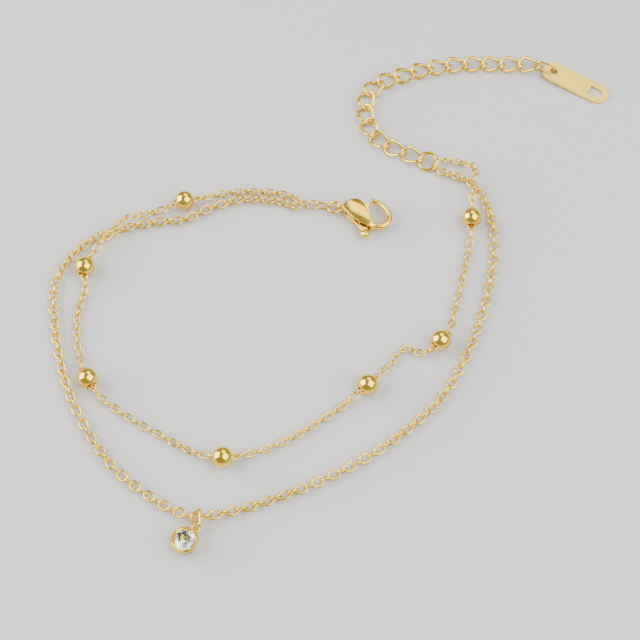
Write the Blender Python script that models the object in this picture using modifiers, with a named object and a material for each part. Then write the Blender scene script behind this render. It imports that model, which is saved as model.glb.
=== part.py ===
"""Layered anklet of two fine strands, lying open: a beaded strand and a plain strand with a
small stone pendant, joined at a lobster clasp and at a ring with an extender chain and end tag."""
import math

import bmesh
import bpy
from mathutils import Matrix, Vector
from mathutils.geometry import intersect_line_line_2d

MM = 0.001

# Clearances
GAP = 0.3 * MM
LINK_GAP = 0.15 * MM

# Plain strand: the width of its cable links
PLAIN_CHAIN_D = 1.5 * MM
# Beaded strand: the width of its finer cable links, and its beads
BEADED_CHAIN_D = 1.3 * MM
BEAD_D = 3.8 * MM
BEAD_HOLE_D = 1.6 * MM
BEAD_PLACES = [(-16.1, 28.7), (-39.5, 30.7), (-54.4, 12.2), (-47.8, -16.2), (-19.8, -24.2),
               (-3.9, -27.3), (20.2, -13.3)]
# Length along a strand over which it climbs to a bead or over what it crosses
CLIMB = 6.5 * MM
CROSSING_FLAT = 2.0 * MM
PENDANT_FLAT = 1.2 * MM

# Clasp, from the centre of its eye
EYE_D = 2.1 * MM
EYE_WIRE = 0.55 * MM
CLASP_BODY = 7.0 * MM
CLASP_THICK = 2.9 * MM
SLOT = 1.4 * MM
HOOK_WIRE = 1.15 * MM
LEVER_THICK = 0.8 * MM
PIN_D = 0.8 * MM
LEVER_BOSS_D = 2.7 * MM
CLASP_EDGE = 0.5 * MM
CLASP_EYE_PLACE = Vector((4.48, 6.45)) * MM
CLASP_TURN = math.radians(-54.7)

# Rings and links between the clasp and the strands: length, width, wire
CLASP_RING = (3.1 * MM, 3.1 * MM, 0.6 * MM)
CLASP_LINK = (3.5 * MM, 2.0 * MM, 0.4 * MM)
JOIN_LINK_1 = (2.5 * MM, 2.2 * MM, 0.35 * MM)
JOIN_LINK_2 = (2.2 * MM, 1.6 * MM, 0.3 * MM)
JOIN_HEADING = math.radians(126.0)

# Connector ring, and the end link of each strand on it
CONNECTOR_D = 4.3 * MM
CONNECTOR_WIRE = 0.7 * MM
CONNECTOR_PLACE = Vector((24.72, 2.11)) * MM
CONNECTOR_TILT = math.radians(20.0)
CONNECTOR_TILT_AXIS = math.radians(-72.0)
PLAIN_END_LINK = (2.2 * MM, 1.65 * MM, 0.3 * MM)
BEADED_END_LINK = (1.95 * MM, 1.4 * MM, 0.25 * MM)
PLAIN_END_HEADING = math.radians(-90.0)
BEADED_END_HEADING = math.radians(-45.0)

# Extender: open links, their ends twisted each way
EXTENDER_LINK_L = 5.15 * MM
EXTENDER_LINK_W = 3.9 * MM
EXTENDER_WIRE = 0.6 * MM
EXTENDER_TWIST = math.radians(45.0)

# Tag at the end of the extender
TAG_L = 14.5 * MM
TAG_W = 4.9 * MM
TAG_THICK = 0.4 * MM
TAG_CORNER = 1.9 * MM
TAG_HOLE_D = 1.6 * MM
TAG_HOLE_INSET = 2.1 * MM
TAG_WINDOW_L = 2.8 * MM
TAG_WINDOW_W = 2.3 * MM
TAG_WINDOW_INSET = 1.35 * MM
TAG_HOLE_PLACE = Vector((59.97, -0.61)) * MM
TAG_HEADING = math.radians(-76.7)
TAG_LINK = (4.4 * MM, 2.9 * MM, 0.5 * MM)
TAG_LINK_HEADING = math.radians(111.0)

# Pendant: ring over the plain strand, setting with a soldered loop, and stone
PENDANT_RING = (4.0 * MM, 3.1 * MM, 0.5 * MM)
PENDANT_CHAIN_PLACE = Vector((-58.3, -21.2)) * MM
PENDANT_RING_HEADING = math.radians(45.0)
SETTING_D = 4.65 * MM
SETTING_BASE_D = 3.5 * MM
SETTING_H = 2.4 * MM
SETTING_WALL = 0.22 * MM
SETTING_FLOOR = 0.35 * MM
SETTING_LOOP_D = 2.1 * MM
SETTING_LOOP_WIRE = 0.5 * MM
SETTING_HEADING = math.radians(183.0)
STONE_GAP = 0.15 * MM
STONE_CROWN = 0.5 * MM
STONE_TABLE = 0.56
STONE_GIRDLE = 0.1 * MM

# Chosen points of each strand from the clasp to the connector ring, in millimetres
BEADED_ROUTE = [
    (0.1, 14.1), (-1.2, 17.2), (-4.1, 20.9), (-8.6, 24.9), (-13.0, 27.1), (-16.1, 28.7),
    (-20.4, 30.8), (-24.6, 33.0), (-27.8, 33.5), (-30.9, 32.8), (-34.6, 32.3), (-37.1, 32.0),
    (-39.5, 30.7), (-42.6, 27.2), (-46.0, 25.0), (-49.8, 21.0), (-53.1, 15.6), (-54.4, 12.2),
    (-55.0, 8.7), (-54.2, 2.5), (-52.2, -5.6), (-50.2, -12.2), (-47.8, -16.2), (-42.5, -19.3),
    (-36.9, -21.5), (-29.6, -23.0), (-23.7, -23.9), (-19.8, -24.2), (-14.1, -23.9),
    (-9.6, -23.4), (-8.4, -24.3), (-8.2, -26.0), (-6.9, -27.1), (-3.9, -27.3), (-1.2, -27.1),
    (1.5, -25.5),
    (8.5, -21.4), (15.9, -16.8), (20.2, -13.3), (23.2, -10.8), (25.9, -8.3), (28.4, -6.9),
    (29.6, -5.0), (29.0, -2.4), (27.1, -0.2)]
PLAIN_ROUTE = [
    (-1.5, 12.9), (-3.0, 16.3), (-7.4, 21.4), (-12.9, 24.3), (-18.5, 26.0), (-23.3, 29.6),
    (-28.8, 33.0), (-35.0, 35.1), (-40.4, 34.6), (-45.9, 32.0), (-51.4, 25.2), (-56.9, 16.0),
    (-60.6, 5.9), (-62.2, -4.8), (-61.4, -12.2), (-59.9, -18.1), (-58.3, -21.2), (-56.0, -22.8),
    (-48.2, -27.0), (-39.5, -30.7), (-30.5, -33.5), (-20.3, -35.0), (-12.3, -35.0),
    (-3.7, -32.9), (7.0, -28.2), (16.4, -22.3), (22.4, -16.9), (25.4, -12.2), (26.9, -8.0),
    (26.2, -4.6), (24.8, -1.5)]
# Chosen points of the extender's middle line, from the connector ring to the tag link
EXTENDER_ROUTE = [
    (24.3, 3.4), (22.8, 7.6), (21.6, 11.5), (21.9, 15.0), (23.6, 18.1), (26.0, 20.9),
    (29.2, 22.8), (32.0, 23.0), (34.9, 21.8), (41.7, 18.7), (48.2, 14.1), (53.8, 8.5),
    (57.0, 5.0), (58.8, 2.35)]

GOLD = (0.95, 0.66, 0.25)
SATIN_GOLD = (0.90, 0.65, 0.32)
CLEAR_STONE = (0.92, 0.93, 0.95)
CURVE_SPAN = 12
WIRE_SIDES_LEVEL = 1
TUBE_SIDES_LEVEL = 2


def clear_scene():
    for obj in list(bpy.data.objects):
        bpy.data.objects.remove(obj, do_unlink=True)


def new_collection(name):
    group = bpy.data.collections.new(name)
    bpy.context.scene.collection.children.link(group)
    return group


def metal(name, colour, roughness, metallic=1.0):
    material = bpy.data.materials.new(name)
    material.use_nodes = True
    shader = material.node_tree.nodes["Principled BSDF"]
    shader.inputs["Base Color"].default_value = (*colour, 1.0)
    shader.inputs["Roughness"].default_value = roughness
    shader.inputs["Metallic"].default_value = metallic
    return material


def add_object(name, data, material, group):
    obj = bpy.data.objects.new(name, data)
    if material is not None and not data.materials:
        data.materials.append(material)
    group.objects.link(obj)
    return obj


def smooth_line(points):
    """Centripetal Catmull-Rom curve through chosen points (mm), as a fine line in metres."""
    pts = [Vector(p) * MM for p in points]
    pts = [pts[0] * 2 - pts[1]] + pts + [pts[-1] * 2 - pts[-2]]
    line = []
    for p0, p1, p2, p3 in zip(pts, pts[1:], pts[2:], pts[3:]):
        t1 = (p1 - p0).length ** 0.5
        t2 = t1 + (p2 - p1).length ** 0.5
        t3 = t2 + (p3 - p2).length ** 0.5
        for i in range(CURVE_SPAN):
            t = t1 + (t2 - t1) * i / CURVE_SPAN
            a1 = p0.lerp(p1, t / t1)
            a2 = p1.lerp(p2, (t - t1) / (t2 - t1))
            a3 = p2.lerp(p3, (t - t2) / (t3 - t2))
            b1 = a1.lerp(a2, t / t2)
            b2 = a2.lerp(a3, (t - t1) / (t3 - t1))
            line.append(b1.lerp(b2, (t - t1) / (t2 - t1)))
    line.append(pts[-2].copy())
    return line


class Strand:
    """A route on the ground with the height of the middle line along it."""

    def __init__(self, points, base):
        self.line = smooth_line(points)
        self.base = base
        self.rises = []
        self.along = [0.0]
        for a, b in zip(self.line, self.line[1:]):
            self.along.append(self.along[-1] + (b - a).length)
        self.length = self.along[-1]

    def rise(self, s, top, flat=0.0):
        self.rises.append((s, top, flat))

    def height(self, s):
        best = self.base
        for middle, top, flat in self.rises:
            share = 1.0 - max(abs(s - middle) - flat, 0.0) / CLIMB
            if share > 0.0:
                best = max(best, self.base + (top - self.base) * share * share * (3 - 2 * share))
        return best

    def ground(self, s):
        s = min(max(s, 0.0), self.length)
        i = 0
        while i < len(self.along) - 2 and self.along[i + 1] < s:
            i += 1
        share = (s - self.along[i]) / (self.along[i + 1] - self.along[i])
        return self.line[i].lerp(self.line[i + 1], share)

    def point(self, s):
        flat = self.ground(s)
        return Vector((flat.x, flat.y, self.height(s)))

    def nearest(self, place):
        return min(self.along, key=lambda s: (self.ground(s) - place).length)

    def crossings(self, other):
        found = []
        for i, (a, b) in enumerate(zip(self.line, self.line[1:])):
            for c, d in zip(other.line, other.line[1:]):
                if intersect_line_line_2d(a, b, c, d) and a.x != b.x:
                    found.append(self.along[i])
        return found

    def stretch(self, start, end, step, lead=0.0):
        """Points from start to end, with a short straight lead at each end where one is given."""
        first, last = start + lead, end - lead
        count = max(int(math.ceil((last - first) / step)), 1)
        places = [first + (last - first) * i / count for i in range(count + 1)]
        if lead > 0.0:
            places = [start] + places + [end]
        return [self.point(s) for s in places]


def wire_curve(name, points, diameter, sides_level, closed):
    curve = bpy.data.curves.new(name, "CURVE")
    curve.dimensions = "3D"
    curve.bevel_depth = diameter / 2
    curve.bevel_resolution = sides_level
    curve.use_fill_caps = not closed
    spline = curve.splines.new("POLY")
    spline.points.add(len(points) - 1)
    for spline_point, point in zip(spline.points, points):
        spline_point.co = (*point, 1.0)
    spline.use_cyclic_u = closed
    return curve


def oval_points(length, width, wire, count=14):
    """Middle line of an oval ring lying flat, its length along X."""
    a = (length - wire) / 2
    b = (width - wire) / 2
    turns = [2 * math.pi * i / count for i in range(count)]
    return [Vector((a * math.cos(t), b * math.sin(t), 0.0)) for t in turns]


def oval_ring(name, size, count=14):
    length, width, wire = size
    return wire_curve(name, oval_points(length, width, wire, count), wire, WIRE_SIDES_LEVEL, True)


def twisted_points(length, width, wire, twist, count=16):
    """Middle line of an open extender link: an oval whose two ends are twisted opposite ways."""
    twisted = []
    for point in oval_points(length, width, wire, count):
        angle = -twist * point.x / ((length - wire) / 2)
        twisted.append(Matrix.Rotation(angle, 3, "X") @ point)
    return twisted


def lowest(points, wire):
    """Height at which a ring with these middle points rests on the ground."""
    return wire / 2 - min(point.z for point in points)


def place(obj, origin, heading, on_edge=False, parent=None):
    """Set an object at a point with its X axis along a heading, flat or stood on its edge."""
    turn = Matrix.Rotation(heading, 4, "Z")
    if on_edge:
        turn = turn @ Matrix.Rotation(math.pi / 2, 4, "X")
    obj.matrix_world = Matrix.Translation(origin) @ turn
    obj.parent = parent
    return obj


def ahead(origin, heading, distance):
    step = Vector((math.cos(heading), math.sin(heading))) * distance
    return Vector((origin.x + step.x, origin.y + step.y))


def lifted(flat, height):
    return Vector((flat.x, flat.y, height))


def mesh_of(obj, group):
    """Turn a curve object into a closed mesh object with welded caps."""
    graph = bpy.context.evaluated_depsgraph_get()
    graph.update()
    data = bpy.data.meshes.new_from_object(obj.evaluated_get(graph))
    cage = bmesh.new()
    cage.from_mesh(data)
    bmesh.ops.remove_doubles(cage, verts=cage.verts, dist=0.001 * MM)
    bmesh.ops.recalc_face_normals(cage, faces=cage.faces)
    cage.to_mesh(data)
    cage.free()
    solid = add_object(obj.name + "_mesh", data, None, group)
    solid.matrix_world = obj.matrix_world
    name = obj.name
    bpy.data.objects.remove(obj, do_unlink=True)
    solid.name = name
    return solid


def plate(name, outlines, thickness, group):
    """A flat plate of one outline with holes, centred on Z, as a closed mesh object."""
    curve = bpy.data.curves.new(name, "CURVE")
    curve.dimensions = "2D"
    curve.fill_mode = "BOTH"
    curve.extrude = thickness / 2
    for outline in outlines:
        spline = curve.splines.new("POLY")
        spline.points.add(len(outline) - 1)
        for spline_point, point in zip(spline.points, outline):
            spline_point.co = (point[0], point[1], 0.0, 1.0)
        spline.use_cyclic_u = True
    return mesh_of(add_object(name, curve, None, group), group)


def arc(centre, radius, start, end, count):
    angles = [start + (end - start) * i / count for i in range(count + 1)]
    return [(centre[0] + radius * math.cos(a), centre[1] + radius * math.sin(a)) for a in angles]


def closed_outline(points, scale):
    """Smooth closed outline through a few points given as shares of one length."""
    pts = [Vector(p) * scale for p in points]
    outline = []
    for i in range(len(pts)):
        p0, p1, p2, p3 = (pts[(i + k) % len(pts)] for k in (-1, 0, 1, 2))
        for t in (0.0, 0.5):
            bend = (p2 - p0) * t + (p0 * 2 - p1 * 5 + p2 * 4 - p3) * t * t
            bend += (p1 * 3 - p0 - p2 * 3 + p3) * t * t * t
            outline.append(p1 + bend * 0.5)
    return outline


def round_edges(obj, width):
    bevel = obj.modifiers.new("rounded edges", "BEVEL")
    bevel.width = width
    bevel.segments = 2
    bevel.limit_method = "ANGLE"
    bevel.angle_limit = math.radians(50.0)


def combine(obj, other, operation, cutters):
    boolean = obj.modifiers.new(operation.lower() + " " + other.name, "BOOLEAN")
    boolean.operation = operation
    boolean.solver = "EXACT"
    boolean.object = other
    for group in list(other.users_collection):
        group.objects.unlink(other)
    cutters.objects.link(other)
    other.hide_render = True
    other.display_type = "WIRE"


def turned(name, profile, steps, material, group):
    """A closed profile of radius and height, outer side top to bottom, turned round Z."""
    cage = bmesh.new()
    verts = [cage.verts.new((radius, 0.0, height)) for radius, height in profile]
    for a, b in zip(verts, verts[1:] + verts[:1]):
        if a.co.x > 0 or b.co.x > 0:
            cage.edges.new((a, b))
    data = bpy.data.meshes.new(name)
    cage.to_mesh(data)
    cage.free()
    obj = add_object(name, data, material, group)
    screw = obj.modifiers.new("turned", "SCREW")
    screw.axis = "Z"
    screw.steps = steps
    screw.render_steps = steps
    screw.use_merge_vertices = True
    screw.merge_threshold = 0.001 * MM
    screw.use_normal_calculate = True
    return obj


def make_bead(name, material, group):
    hole = BEAD_HOLE_D / 2
    radius = BEAD_D / 2
    start = math.asin(hole / radius)
    count = 8
    profile = []
    for i in range(count + 1):
        angle = start + (math.pi - 2 * start) * i / count
        profile.append((radius * math.sin(angle), radius * math.cos(angle)))
    return turned(name, profile, 14, material, group)


def bead_half_length():
    return math.sqrt((BEAD_D / 2) ** 2 - (BEAD_HOLE_D / 2) ** 2)


def build_beaded_strand(strand, material, group):
    """Seven beads on the strand, and the stretches of fine chain that meet them."""
    middles = [strand.nearest(Vector(spot) * MM) for spot in BEAD_PLACES]
    reach = bead_half_length() + GAP
    bead = None
    for i, s in enumerate(middles, 1):
        if bead is None:
            bead = make_bead(f"bead_{i}", material, group)
            copy = bead
        else:
            copy = add_object(f"bead_{i}", bead.data, material, group)
            screw = copy.modifiers.new("turned", "SCREW")
            for setting in ("axis", "steps", "render_steps", "use_merge_vertices",
                            "merge_threshold", "use_normal_calculate"):
                setattr(screw, setting, getattr(bead.modifiers["turned"], setting))
        along = strand.point(s + reach + BEADED_CHAIN_D) - strand.point(s - reach - BEADED_CHAIN_D)
        turn = along.to_track_quat("Z", "Y").to_matrix().to_4x4()
        copy.matrix_world = Matrix.Translation(strand.point(s)) @ turn
    starts = [0.0] + [s + reach for s in middles]
    ends = [s - reach for s in middles] + [strand.length]
    for i, (start, end) in enumerate(zip(starts, ends), 1):
        points = strand.stretch(start, end, 2 * BEADED_CHAIN_D, BEADED_CHAIN_D)
        name = f"beaded_chain_{i}"
        curve = wire_curve(name, points, BEADED_CHAIN_D, TUBE_SIDES_LEVEL, False)
        add_object(name, curve, material, group)


def build_plain_strand(strand, material, group):
    step = 2.1 * PLAIN_CHAIN_D
    at_ring = strand.nearest(PENDANT_CHAIN_PLACE)
    points = strand.stretch(0.0, at_ring, step) + strand.stretch(at_ring, strand.length, step)[1:]
    curve = wire_curve("plain_chain", points, PLAIN_CHAIN_D, TUBE_SIDES_LEVEL, False)
    add_object("plain_chain", curve, material, group)


def hook_points():
    """Middle line of the hook, from its root round to its tip, as shares of the body's length."""
    shares = [(0.91, -0.475), (1.01, -0.475), (1.11, -0.47), (1.27, -0.42), (1.36, -0.29),
              (1.375, -0.13), (1.31, 0.03), (1.17, 0.19), (1.0, 0.30), (0.85, 0.335)]
    return [Vector((x, y, 0.0)) * CLASP_BODY for x, y in shares]


def clasp_outline():
    return closed_outline([(0.08, 0.03), (0.21, 0.18), (0.40, 0.27), (0.57, 0.20),
                           (0.70, -0.02), (0.85, -0.28), (1.0, -0.53), (0.89, -0.575),
                           (0.65, -0.52), (0.41, -0.40), (0.21, -0.25), (0.08, -0.12)],
                          CLASP_BODY)


def slot_outline():
    shares = [(0.17, -0.06), (0.37, 0.05), (0.51, 0.05), (0.57, 0.10), (0.57, 0.245),
              (0.70, 0.24), (0.86, 0.17), (1.08, -0.23), (1.04, -0.33), (0.905, -0.39),
              (0.90, -0.94), (0.03, -0.94), (0.03, -0.20), (0.16, -0.165)]
    return [(x * CLASP_BODY, y * CLASP_BODY) for x, y in shares]


def lever_outline():
    return closed_outline([(0.62, 0.10), (0.64, 0.20), (0.74, 0.245), (0.79, 0.17),
                           (0.76, 0.08), (0.82, -0.09), (0.88, -0.24), (0.865, -0.38),
                           (0.80, -0.52), (0.85, -0.67), (0.84, -0.82), (0.76, -0.88),
                           (0.68, -0.82), (0.66, -0.66), (0.60, -0.50), (0.50, -0.33),
                           (0.52, -0.18), (0.60, -0.03)], CLASP_BODY)


def pivot_place():
    return Vector((0.68, -0.29)) * CLASP_BODY


def build_clasp(material, group, cutters):
    frame = bpy.data.objects.new("clasp_frame", None)
    group.objects.link(frame)
    frame.matrix_world = (Matrix.Translation(lifted(CLASP_EYE_PLACE, CLASP_THICK / 2))
                          @ Matrix.Rotation(CLASP_TURN, 4, "Z"))
    bpy.context.view_layer.update()
    body = plate("clasp_body", [clasp_outline()], CLASP_THICK, group)
    body.data.materials.append(material)
    round_edges(body, CLASP_EDGE)
    slot = plate("clasp_slot", [slot_outline()], SLOT, group)
    combine(body, slot, "DIFFERENCE", cutters)
    hook = wire_curve("clasp_hook", hook_points(), HOOK_WIRE, TUBE_SIDES_LEVEL, False)
    combine(body, mesh_of(add_object("clasp_hook", hook, None, group), group), "UNION", cutters)
    eye = add_object("clasp_eye", oval_ring("clasp_eye", (EYE_D, EYE_D, EYE_WIRE)), None, group)
    eye.matrix_world = (Matrix.Translation((0.0, 0.0, (EYE_D - CLASP_THICK) / 2))
                        @ Matrix.Rotation(math.pi / 2, 4, "X"))
    combine(body, mesh_of(eye, group), "UNION", cutters)
    bpy.ops.mesh.primitive_cylinder_add(vertices=12, radius=PIN_D / 2, depth=CLASP_THICK * 0.8)
    pin = bpy.context.object
    pin.name = "clasp_pin"
    pin.location = lifted(pivot_place(), 0.0)
    combine(body, pin, "UNION", cutters)
    for obj in (body, slot, bpy.data.objects["clasp_hook"], bpy.data.objects["clasp_eye"], pin):
        obj.parent = frame

    axis = bpy.data.objects.new("lever_axis", None)
    group.objects.link(axis)
    axis.parent = frame
    axis.location = lifted(pivot_place(), 0.0)
    lever = plate("clasp_lever", [lever_outline()], LEVER_THICK, group)
    lever.data.materials.append(material)
    bore = PIN_D / 2 + GAP
    boss = plate("lever_boss", [arc(pivot_place(), LEVER_BOSS_D / 2, 0.0, 1.9 * math.pi, 19)],
                 LEVER_THICK, group)
    hole = plate("lever_bore", [arc(pivot_place(), bore, 0.0, 11 / 6 * math.pi, 11)],
                 LEVER_THICK * 2, group)
    combine(lever, boss, "UNION", cutters)
    combine(lever, hole, "DIFFERENCE", cutters)
    for obj in (lever, boss, hole):
        obj.matrix_world = Matrix.Translation(-lifted(pivot_place(), 0.0))
        obj.parent = axis


def build_clasp_links(material, group):
    """Jump ring in the clasp's eye, a long link on edge, then two links that carry the strands."""
    ring_d, _, ring_wire = CLASP_RING
    ring_middle = (ring_d - ring_wire) / 2
    centre = ahead(CLASP_EYE_PLACE, CLASP_TURN, -ring_middle)
    ring = add_object("clasp_ring", oval_ring("clasp_ring", CLASP_RING), material, group)
    place(ring, lifted(centre, EYE_D / 2), JOIN_HEADING)
    inner = ring_middle - (ring_wire + CLASP_LINK[2]) / 2 - LINK_GAP
    pieces = [("clasp_link", CLASP_LINK, True), ("join_link_1", JOIN_LINK_1, False),
              ("join_link_2", JOIN_LINK_2, True)]
    height = CLASP_LINK[1] / 2
    for i, (name, size, on_edge) in enumerate(pieces):
        length, width, wire = size
        middle = ahead(centre, JOIN_HEADING, inner + (length - wire) / 2)
        link = add_object(name, oval_ring(name, size, 12), material, group)
        place(link, lifted(middle, height), JOIN_HEADING, on_edge)
        if i + 1 < len(pieces):
            inner += length - wire - (wire + pieces[i + 1][1][2]) / 2 - LINK_GAP


def connector_height(heading):
    """Height of the middle of the leaning ring's wire, seen from the ring's centre."""
    lean = math.sin(CONNECTOR_TILT) * (CONNECTOR_D - CONNECTOR_WIRE) / 2
    return CONNECTOR_WIRE / 2 + lean * (1.0 + math.sin(heading - CONNECTOR_TILT_AXIS))


def build_connector(material, group):
    size = (CONNECTOR_D, CONNECTOR_D, CONNECTOR_WIRE)
    ring = add_object("connector_ring", oval_ring("connector_ring", size, 16), material, group)
    centre_height = connector_height(CONNECTOR_TILT_AXIS)
    ring.matrix_world = (Matrix.Translation(lifted(CONNECTOR_PLACE, centre_height))
                         @ Matrix.Rotation(CONNECTOR_TILT_AXIS, 4, "Z")
                         @ Matrix.Rotation(CONNECTOR_TILT, 4, "X"))
    middle = (CONNECTOR_D - CONNECTOR_WIRE) / 2
    for name, size, heading in (("plain_end_link", PLAIN_END_LINK, PLAIN_END_HEADING),
                                ("beaded_end_link", BEADED_END_LINK, BEADED_END_HEADING)):
        length, width, wire = size
        inner = middle - (CONNECTOR_WIRE + wire) / 2 - LINK_GAP
        link = add_object(name, oval_ring(name, size, 12), material, group)
        centre = ahead(CONNECTOR_PLACE, heading, inner + (length - wire) / 2)
        height = max(connector_height(heading), width / 2)
        place(link, lifted(centre, height), heading, on_edge=True)


def equal_chords(strand, count):
    """Joints along a strand, each the same straight distance from the last, end to end."""
    def walk(chord):
        joints = [strand.point(0.0)]
        s = 0.0
        for _ in range(count):
            step = chord
            for _ in range(8):
                step += chord - (strand.point(s + step) - joints[-1]).length
            s += step
            if s > strand.length:
                return joints, s
            joints.append(strand.point(s))
        return joints, s

    low, high = 0.0, strand.length / count
    for _ in range(40):
        chord = (low + high) / 2
        if walk(chord)[1] > strand.length:
            high = chord
        else:
            low = chord
    return walk(low)[0]


def build_extender(points, material, group):
    """Links along the route, the last of them lifted to the middle of the tag link."""
    strand = Strand(EXTENDER_ROUTE, lowest(points, EXTENDER_WIRE))
    strand.rise(strand.length, TAG_LINK[1] / 2)
    shape = wire_curve("extender_link", points, EXTENDER_WIRE, WIRE_SIDES_LEVEL, True)
    longest_pitch = EXTENDER_LINK_L - 2 * EXTENDER_WIRE - LINK_GAP
    count = math.ceil(strand.length / longest_pitch - 0.05)
    joints = equal_chords(strand, count)
    for i, (a, b) in enumerate(zip(joints, joints[1:]), 1):
        link = add_object(f"extender_link_{i:02d}", shape, material, group)
        turn = (b - a).to_track_quat("X", "Z").to_matrix().to_4x4()
        link.matrix_world = Matrix.Translation((a + b) / 2) @ turn


def tag_outlines():
    """Plate with one round end and one rounded square end, a round hole and a D-shaped window."""
    half = TAG_W / 2
    right = math.pi / 2
    start = -TAG_HOLE_INSET
    end = start + TAG_L
    outline = arc((end - half, 0.0), half, -right, right, 12)
    outline += arc((start + TAG_CORNER, half - TAG_CORNER), TAG_CORNER, right, 2 * right, 5)
    outline += arc((start + TAG_CORNER, TAG_CORNER - half), TAG_CORNER, 2 * right, 3 * right, 5)
    hole = arc((0.0, 0.0), TAG_HOLE_D / 2, 0.0, 11 / 6 * math.pi, 11)
    bow = TAG_WINDOW_W / 2
    bow_centre = end - TAG_WINDOW_INSET - bow
    straight = end - TAG_WINDOW_INSET - TAG_WINDOW_L
    window = arc((bow_centre, 0.0), bow, -right, right, 10)
    window += [(straight, bow), (straight, -bow)]
    return [outline, hole, window]


def build_tag(material, satin, group):
    """The tag leans on its link at the hole end and rests on its round end."""
    wire = TAG_LINK[2]
    tag = plate("end_tag", tag_outlines(), TAG_THICK, group)
    tag.data.materials.append(satin)
    lean = math.asin((wire + LINK_GAP) / (TAG_L - TAG_W / 2 - TAG_HOLE_D))
    run = TAG_L - TAG_HOLE_INSET
    height = run * math.sin(lean) + TAG_THICK / 2 * math.cos(lean)
    tag.matrix_world = (Matrix.Translation(lifted(TAG_HOLE_PLACE, height))
                        @ Matrix.Rotation(TAG_HEADING, 4, "Z")
                        @ Matrix.Rotation(lean, 4, "Y"))
    link = add_object("tag_link", oval_ring("tag_link", TAG_LINK), material, group)
    centre = ahead(TAG_HOLE_PLACE, TAG_LINK_HEADING, (TAG_LINK[0] - wire) / 2)
    place(link, lifted(centre, TAG_LINK[1] / 2), TAG_LINK_HEADING, on_edge=True)


def build_pendant(strand, material, stone_material, group, cutters):
    length, width, wire = PENDANT_RING
    s = strand.nearest(PENDANT_CHAIN_PLACE)
    chain = strand.ground(s)
    reach = length / 2 - wire - PLAIN_CHAIN_D / 2 - 1.3 * GAP
    centre = ahead(chain, PENDANT_RING_HEADING, -reach)
    ring = add_object("pendant_ring", oval_ring("pendant_ring", PENDANT_RING), material, group)
    place(ring, lifted(centre, width / 2), PENDANT_RING_HEADING, on_edge=True)

    loop_place = ahead(centre, PENDANT_RING_HEADING, -(length - wire) / 2)
    loop_middle = width / 2 - SETTING_LOOP_WIRE / 2
    radius = SETTING_D / 2
    base = SETTING_BASE_D / 2
    at_loop = base + (radius - base) * loop_middle / SETTING_H
    middle = ahead(loop_place, SETTING_HEADING, at_loop + (SETTING_LOOP_D - SETTING_LOOP_WIRE) / 2)
    seat = SETTING_H * 0.8
    profile = [(radius - SETTING_WALL, SETTING_H), (radius, SETTING_H), (base, 0.0), (0.0, 0.0),
               (0.0, SETTING_FLOOR), (base - 2 * SETTING_WALL, SETTING_FLOOR),
               (radius - SETTING_WALL, seat)]
    setting = turned("pendant_setting", profile, 24, material, group)
    setting.location = lifted(middle, 0.0)
    size = (SETTING_LOOP_D, SETTING_LOOP_D, SETTING_LOOP_WIRE)
    loop = add_object("setting_loop", oval_ring("setting_loop", size), None, group)
    place(loop, lifted(loop_place, loop_middle), SETTING_HEADING)
    combine(setting, mesh_of(loop, group), "UNION", cutters)
    build_stone(middle, radius - SETTING_WALL - STONE_GAP, seat, stone_material, group)


def build_stone(middle, radius, seat, material, group):
    """Round cut stone: an eight-sided table, a crown and a pavilion over a sixteen-sided girdle."""
    cage = bmesh.new()
    girdle = seat + GAP
    depth = girdle - SETTING_FLOOR - GAP
    rings = [(8, STONE_TABLE, girdle + STONE_GIRDLE + STONE_CROWN, 0.5),
             (8, 0.82, girdle + STONE_GIRDLE + STONE_CROWN * 0.58, 0.0),
             (16, 1.0, girdle + STONE_GIRDLE, 0.0), (16, 1.0, girdle, 0.0),
             (8, 0.52, girdle - depth * 0.52, 0.5)]
    for count, share, height, offset in rings:
        for i in range(count):
            angle = 2 * math.pi * (i + offset) / count
            cage.verts.new((radius * share * math.cos(angle),
                            radius * share * math.sin(angle), height))
    cage.verts.new((0.0, 0.0, girdle - depth))
    bmesh.ops.convex_hull(cage, input=cage.verts)
    data = bpy.data.meshes.new("pendant_stone")
    cage.to_mesh(data)
    cage.free()
    stone = add_object("pendant_stone", data, material, group)
    stone.location = lifted(middle, 0.0)


def main():
    clear_scene()
    group = new_collection("layered_anklet")
    cutters = new_collection("cutters")
    gold = metal("polished_gold", GOLD, 0.15)
    satin = metal("satin_gold", SATIN_GOLD, 0.35)
    clear = metal("clear_stone", CLEAR_STONE, 0.02, 0.0)

    plain = Strand(PLAIN_ROUTE, PLAIN_CHAIN_D / 2)
    plain.rise(plain.nearest(PENDANT_CHAIN_PLACE), PENDANT_RING[1] / 2, PENDANT_FLAT)
    beaded = Strand(BEADED_ROUTE, BEADED_CHAIN_D / 2)
    for spot in BEAD_PLACES:
        beaded.rise(beaded.nearest(Vector(spot) * MM), BEAD_D / 2)
    for s in beaded.crossings(plain):
        beaded.rise(s, PLAIN_CHAIN_D + GAP + BEADED_CHAIN_D / 2, CROSSING_FLAT)
    beaded.rise(beaded.length, connector_height(BEADED_END_HEADING))
    link = twisted_points(EXTENDER_LINK_L, EXTENDER_LINK_W, EXTENDER_WIRE, EXTENDER_TWIST)

    build_clasp(gold, group, cutters)
    build_clasp_links(gold, group)
    build_beaded_strand(beaded, gold, group)
    build_plain_strand(plain, gold, group)
    build_connector(gold, group)
    build_extender(link, gold, group)
    build_tag(gold, satin, group)
    build_pendant(plain, gold, clear, group, cutters)


main()
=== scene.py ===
"""Looks of the layered anklet: gold-plated steel chains, beads, clasp, pendant and end tag."""
import math

import bpy
import numpy as np
from mathutils import Matrix, Vector


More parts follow.
